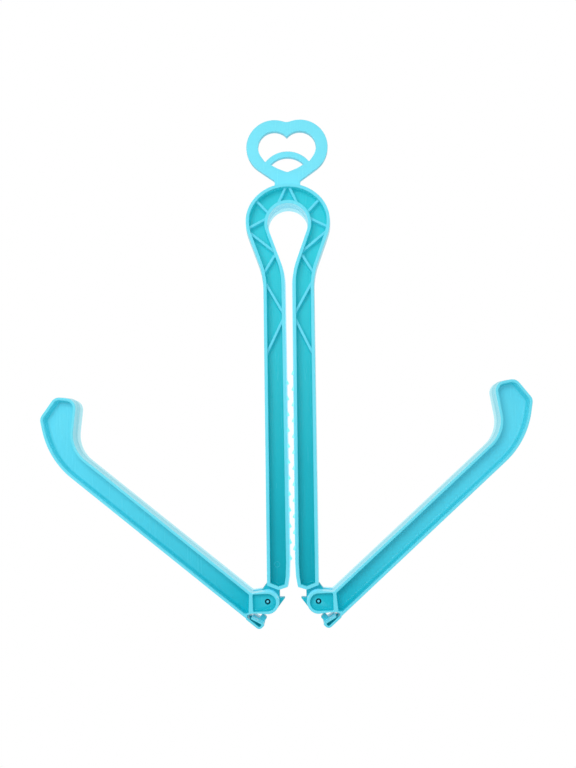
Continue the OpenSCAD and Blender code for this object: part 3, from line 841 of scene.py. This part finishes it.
def moulded_surface_group():
    """Fine grain, faint flow ripples and small handling marks of a moulded face."""
    group, given, out = new_group("moulded surface", [
        ("Roughness", "NodeSocketFloat", 0.24), ("Marks", "NodeSocketFloat", 0.1)],
        [("Roughness", "NodeSocketFloat"), ("Height", "NodeSocketFloat")])
    link = group.links.new
    place = node(group, "ShaderNodeTexCoord")
    grain = node(group, "ShaderNodeTexNoise")
    grain.inputs["Scale"].default_value = 900
    grain.inputs["Detail"].default_value = 3
    ripple = node(group, "ShaderNodeTexNoise")
    ripple.inputs["Scale"].default_value = 70
    ripple.inputs["Detail"].default_value = 1
    stretch = node(group, "ShaderNodeMapping")
    stretch.inputs["Scale"].default_value = (1, 1, 0.06)
    marks = node(group, "ShaderNodeTexNoise")
    marks.inputs["Scale"].default_value = 600
    marks.inputs["Detail"].default_value = 4
    link(place.outputs["Object"], grain.inputs["Vector"])
    link(place.outputs["Object"], ripple.inputs["Vector"])
    link(place.outputs["Object"], stretch.inputs["Vector"])
    link(stretch.outputs["Vector"], marks.inputs["Vector"])
    streak = node(group, "ShaderNodeMapRange")
    streak.inputs["From Min"].default_value = 0.55
    streak.inputs["From Max"].default_value = 0.75
    link(marks.outputs["Fac"], streak.inputs["Value"])
    worn = node(group, "ShaderNodeMath", operation="MULTIPLY_ADD")
    link(streak.outputs["Result"], worn.inputs[0])
    link(given.outputs["Marks"], worn.inputs[1])
    link(given.outputs["Roughness"], worn.inputs[2])
    link(worn.outputs["Value"], out.inputs["Roughness"])
    height = node(group, "ShaderNodeMath", operation="MULTIPLY_ADD")
    height.inputs[1].default_value = 0.03
    link(grain.outputs["Fac"], height.inputs[0])
    link(ripple.outputs["Fac"], height.inputs[2])
    link(height.outputs["Value"], out.inputs["Height"])
    return group


def plastic(name, groups, tints, flow, roughness, marks):
    """A moulded plastic; its tints are those of the rims, the channels' floors low and high up with painted shade and
    painted light, and the walls with painted light.
    """
    colours, surfaces = groups
    material = bpy.data.materials.new(name)
    material.use_nodes = True
    tree = material.node_tree
    shader = tree.nodes["Principled BSDF"]
    tint = node(tree, "ShaderNodeGroup", node_tree=colours)
    for label, value in zip(("Rim", "Floor", "High floor", "Wall"), tints):
        tint.inputs[label].default_value = (*value, 1)
    tint.inputs["Flow"].default_value = flow
    surface = node(tree, "ShaderNodeGroup", node_tree=surfaces)
    surface.inputs["Roughness"].default_value = roughness
    surface.inputs["Marks"].default_value = marks
    bump = node(tree, "ShaderNodeBump")
    bump.inputs["Strength"].default_value = 0.03
    bump.inputs["Distance"].default_value = 0.0003
    link = tree.links.new
    link(tint.outputs["Color"], shader.inputs["Base Color"])
    # Painted glow: the plastic emits its own colour, though it is no lamp.
    link(tint.outputs["Glow"], shader.inputs["Emission Color"])
    shader.inputs["Emission Strength"].default_value = bpy.context.scene.boot_finish.painted_glow
    link(surface.outputs["Roughness"], shader.inputs["Roughness"])
    link(surface.outputs["Height"], bump.inputs["Height"])
    link(bump.outputs["Normal"], shader.inputs["Normal"])
    shader.inputs["IOR"].default_value = 1.46
    return material


class BOOT_OT_materials(bpy.types.Operator):
    """Make the plastics of the frame, the arms and the pins"""
    bl_idname = "boot.materials"
    bl_label = "Plastics"

    def execute(self, context):
        look = context.scene.boot_finish
        groups = painted_shade_and_light_colour_group(), moulded_surface_group()
        plastic("frame plastic", groups, (look.rim_colour, look.shaded_floor_colour, look.lit_high_floor_colour, look.lit_wall_colour),
                0.15, look.gloss, 0.12)
        plastic("arm plastic", groups, (look.rim_colour, look.shaded_arm_floor_colour, look.lit_high_floor_colour, look.lit_wall_colour),
                0.12, look.gloss, 0.12)
        plastic("pin plastic", groups, (look.pin_colour, look.groove_shade_colour, look.groove_shade_colour, look.lit_wall_colour),
                0.1, look.gloss, 0.2)
        return {"FINISHED"}


class BOOT_OT_ring(bpy.types.Operator):
    """Build the flat hanging ring with its neck"""
    bl_idname = "boot.ring"
    bl_label = "Hanging ring"

    def execute(self, context):
        build_ring()
        return {"FINISHED"}


class BOOT_OT_frame(bpy.types.Operator):
    """Build both halves of the spring head with their legs"""
    bl_idname = "boot.frame"
    bl_label = "Spring head and legs"

    def execute(self, context):
        build_frame_half("left_head_and_leg", -1, "left_leg")
        build_frame_half("right_head_and_leg", 1, "right_leg")
        return {"FINISHED"}


class BOOT_OT_arms(bpy.types.Operator):
    """Build both footed arms"""
    bl_idname = "boot.arms"
    bl_label = "Arms"

    def execute(self, context):
        arms = context.scene.boot_arms
        build_arm("left_arm", -1, arms.left_angle)
        build_arm("right_arm", 1, arms.right_angle)
        return {"FINISHED"}


class BOOT_OT_latches(bpy.types.Operator):
    """Build both hairpin snap latches"""
    bl_idname = "boot.latches"
    bl_label = "Snap latches"

    def execute(self, context):
        arms = context.scene.boot_arms
        build_latch("left_latch", -1, arms.left_angle)
        build_latch("right_latch", 1, arms.right_angle)
        return {"FINISHED"}


class BOOT_OT_pins(bpy.types.Operator):
    """Build both hinge pins"""
    bl_idname = "boot.pins"
    bl_label = "Hinge pins"

    def execute(self, context):
        build_pin("left_pin", -1, "left_arm")
        build_pin("right_pin", 1, "right_arm")
        return {"FINISHED"}


def pale_stage_material():
    """White to the camera, and a plain pale surface for the light itself."""
    material = bpy.data.materials.new("stage")
    material.use_nodes = True
    tree = material.node_tree
    tree.nodes.clear()
    out = node(tree, "ShaderNodeOutputMaterial")
    path = node(tree, "ShaderNodeLightPath")
    seen = node(tree, "ShaderNodeMath", operation="MAXIMUM")
    white = node(tree, "ShaderNodeEmission")
    pale = node(tree, "ShaderNodeBsdfDiffuse")
    pale.inputs["Color"].default_value = (0.82, 0.82, 0.82, 1)
    mix = node(tree, "ShaderNodeMixShader")
    link = tree.links.new
    link(path.outputs["Is Camera Ray"], seen.inputs[0])
    link(path.outputs["Is Transmission Ray"], seen.inputs[1])
    link(seen.outputs[0], mix.inputs[0])
    link(pale.outputs[0], mix.inputs[1])
    link(white.outputs[0], mix.inputs[2])
    link(mix.outputs[0], out.inputs["Surface"])
    return material


def background(tree, strength=1.0):
    made = node(tree, "ShaderNodeBackground")
    made.inputs["Color"].default_value = (1, 1, 1, 1)
    made.inputs["Strength"].default_value = strength
    return made


def studio_world(look):
    """Even light from all round, white to the camera; reflections see a bright backdrop and a darker room."""
    world = bpy.data.worlds.new("studio")
    world.use_nodes = True
    tree = world.node_tree
    tree.nodes.clear()
    out = node(tree, "ShaderNodeOutputWorld")
    path = node(tree, "ShaderNodeLightPath")
    light, white, mirrored = background(tree, look.sky), background(tree), background(tree)
    place = node(tree, "ShaderNodeTexCoord")
    parts = node(tree, "ShaderNodeSeparateXYZ")
    behind = node(tree, "ShaderNodeMapRange")
    for label, value in (("From Min", -0.3), ("From Max", 0.3), ("To Min", look.front_mirror),
                         ("To Max", look.back_mirror)):
        behind.inputs[label].default_value = value
    in_mirror = node(tree, "ShaderNodeMixShader")
    mix = node(tree, "ShaderNodeMixShader")
    seen = node(tree, "ShaderNodeMath", operation="MAXIMUM")
    link = tree.links.new
    link(place.outputs["Generated"], parts.inputs[0])
    link(parts.outputs["Y"], behind.inputs["Value"])
    link(behind.outputs["Result"], mirrored.inputs["Strength"])
    link(path.outputs["Is Glossy Ray"], in_mirror.inputs[0])
    link(light.outputs[0], in_mirror.inputs[1])
    link(mirrored.outputs[0], in_mirror.inputs[2])
    link(path.outputs["Is Camera Ray"], seen.inputs[0])
    link(path.outputs["Is Transmission Ray"], seen.inputs[1])
    link(seen.outputs[0], mix.inputs[0])
    link(in_mirror.outputs[0], mix.inputs[1])
    link(white.outputs[0], mix.inputs[2])
    link(mix.outputs[0], out.inputs["Surface"])
    return world


class BOOT_OT_stage(bpy.types.Operator):
    """Set the pale stage, the light and the camera"""
    bl_idname = "boot.stage"
    bl_label = "Stage, light and camera"

    def execute(self, context):
        scene = context.scene
        look = scene.boot_stage
        scene.view_settings.view_transform = "Standard"
        material = pale_stage_material()
        for name, corners in (
                ("floor", [(-4, -4, -0.5), (4, -4, -0.5), (4, 4, -0.5), (-4, 4, -0.5)]),
                ("backdrop", [(-4, 1.6, -0.6), (4, 1.6, -0.6), (4, 1.6, 4), (-4, 1.6, 4)])):
            mesh = bpy.data.meshes.new(name)
            mesh.from_pydata(corners, [], [(0, 1, 2, 3)])
            mesh.materials.append(material)
            piece = bpy.data.objects.new(name, mesh)
            piece.visible_glossy = False
            scene.collection.objects.link(piece)

        scene.world = studio_world(look)

        lamp = bpy.data.lights.new("soft key", "AREA")
        lamp.shape = "RECTANGLE"
        lamp.size, lamp.size_y = KEY_SIZE
        lamp.energy = look.key_power
        key = bpy.data.objects.new("soft key", lamp)
        key.location = KEY_PLACE
        key.rotation_mode = "QUATERNION"
        key.rotation_quaternion = (key.location - Vector(KEY_AIM)).to_track_quat("Z", "Y")
        key.visible_glossy = False
        scene.collection.objects.link(key)

        data = bpy.data.cameras.new("camera")
        data.sensor_width = 36
        data.lens = look.lens
        data.shift_x, data.shift_y = 0.0104, 0.0020
        camera = bpy.data.objects.new("camera", data)
        turn = camera_turn()
        camera.matrix_world = Matrix.Translation(Vector(look.place)) @ turn.to_4x4()
        scene.collection.objects.link(camera)
        scene.camera = camera
        return {"FINISHED"}


def camera_turn():
    """The camera's turn, from where depth, height and width run in its picture."""
    depth = Vector((0.02775, 0.06935, 1)).normalized()
    height = Vector((-0.015, -1, 0))
    height = (height - depth * height.dot(depth)).normalized()
    width = depth.cross(height)
    rows = Matrix((width, depth, height)).transposed()
    return Matrix((rows[0], -rows[1], -rows[2])).transposed()


class BOOT_PT_panel(bpy.types.Panel):
    """Lists the pieces in the order in which they are built"""
    bl_idname = "BOOT_PT_panel"
    bl_label = "Boot shaper"
    bl_space_type = "VIEW_3D"
    bl_region_type = "UI"
    bl_category = "Boot shaper"

    def draw(self, context):
        for operator in OPERATORS:
            self.layout.operator(operator.bl_idname)


GROUPS = {"boot_moulding": MouldingSizes, "boot_ring": RingSizes, "boot_frame": FrameSizes, "boot_arms": ArmSizes,
          "boot_finish": Finish, "boot_stage": StageLook}
OPERATORS = (BOOT_OT_materials, BOOT_OT_ring, BOOT_OT_frame, BOOT_OT_arms, BOOT_OT_latches, BOOT_OT_pins,
             BOOT_OT_stage)
CLASSES = (*GROUPS.values(), *OPERATORS, BOOT_PT_panel)


def register():
    for cls in CLASSES:
        bpy.utils.register_class(cls)
    for name, group in GROUPS.items():
        setattr(bpy.types.Scene, name, PointerProperty(type=group))


def unregister():
    for name in GROUPS:
        delattr(bpy.types.Scene, name)
    for cls in reversed(CLASSES):
        bpy.utils.unregister_class(cls)


def main():
    register()
    bpy.ops.boot.materials()
    bpy.ops.boot.ring()
    bpy.ops.boot.frame()
    bpy.ops.boot.arms()
    bpy.ops.boot.latches()
    bpy.ops.boot.pins()
    bpy.ops.boot.stage()


if __name__ == "__main__":
    main()
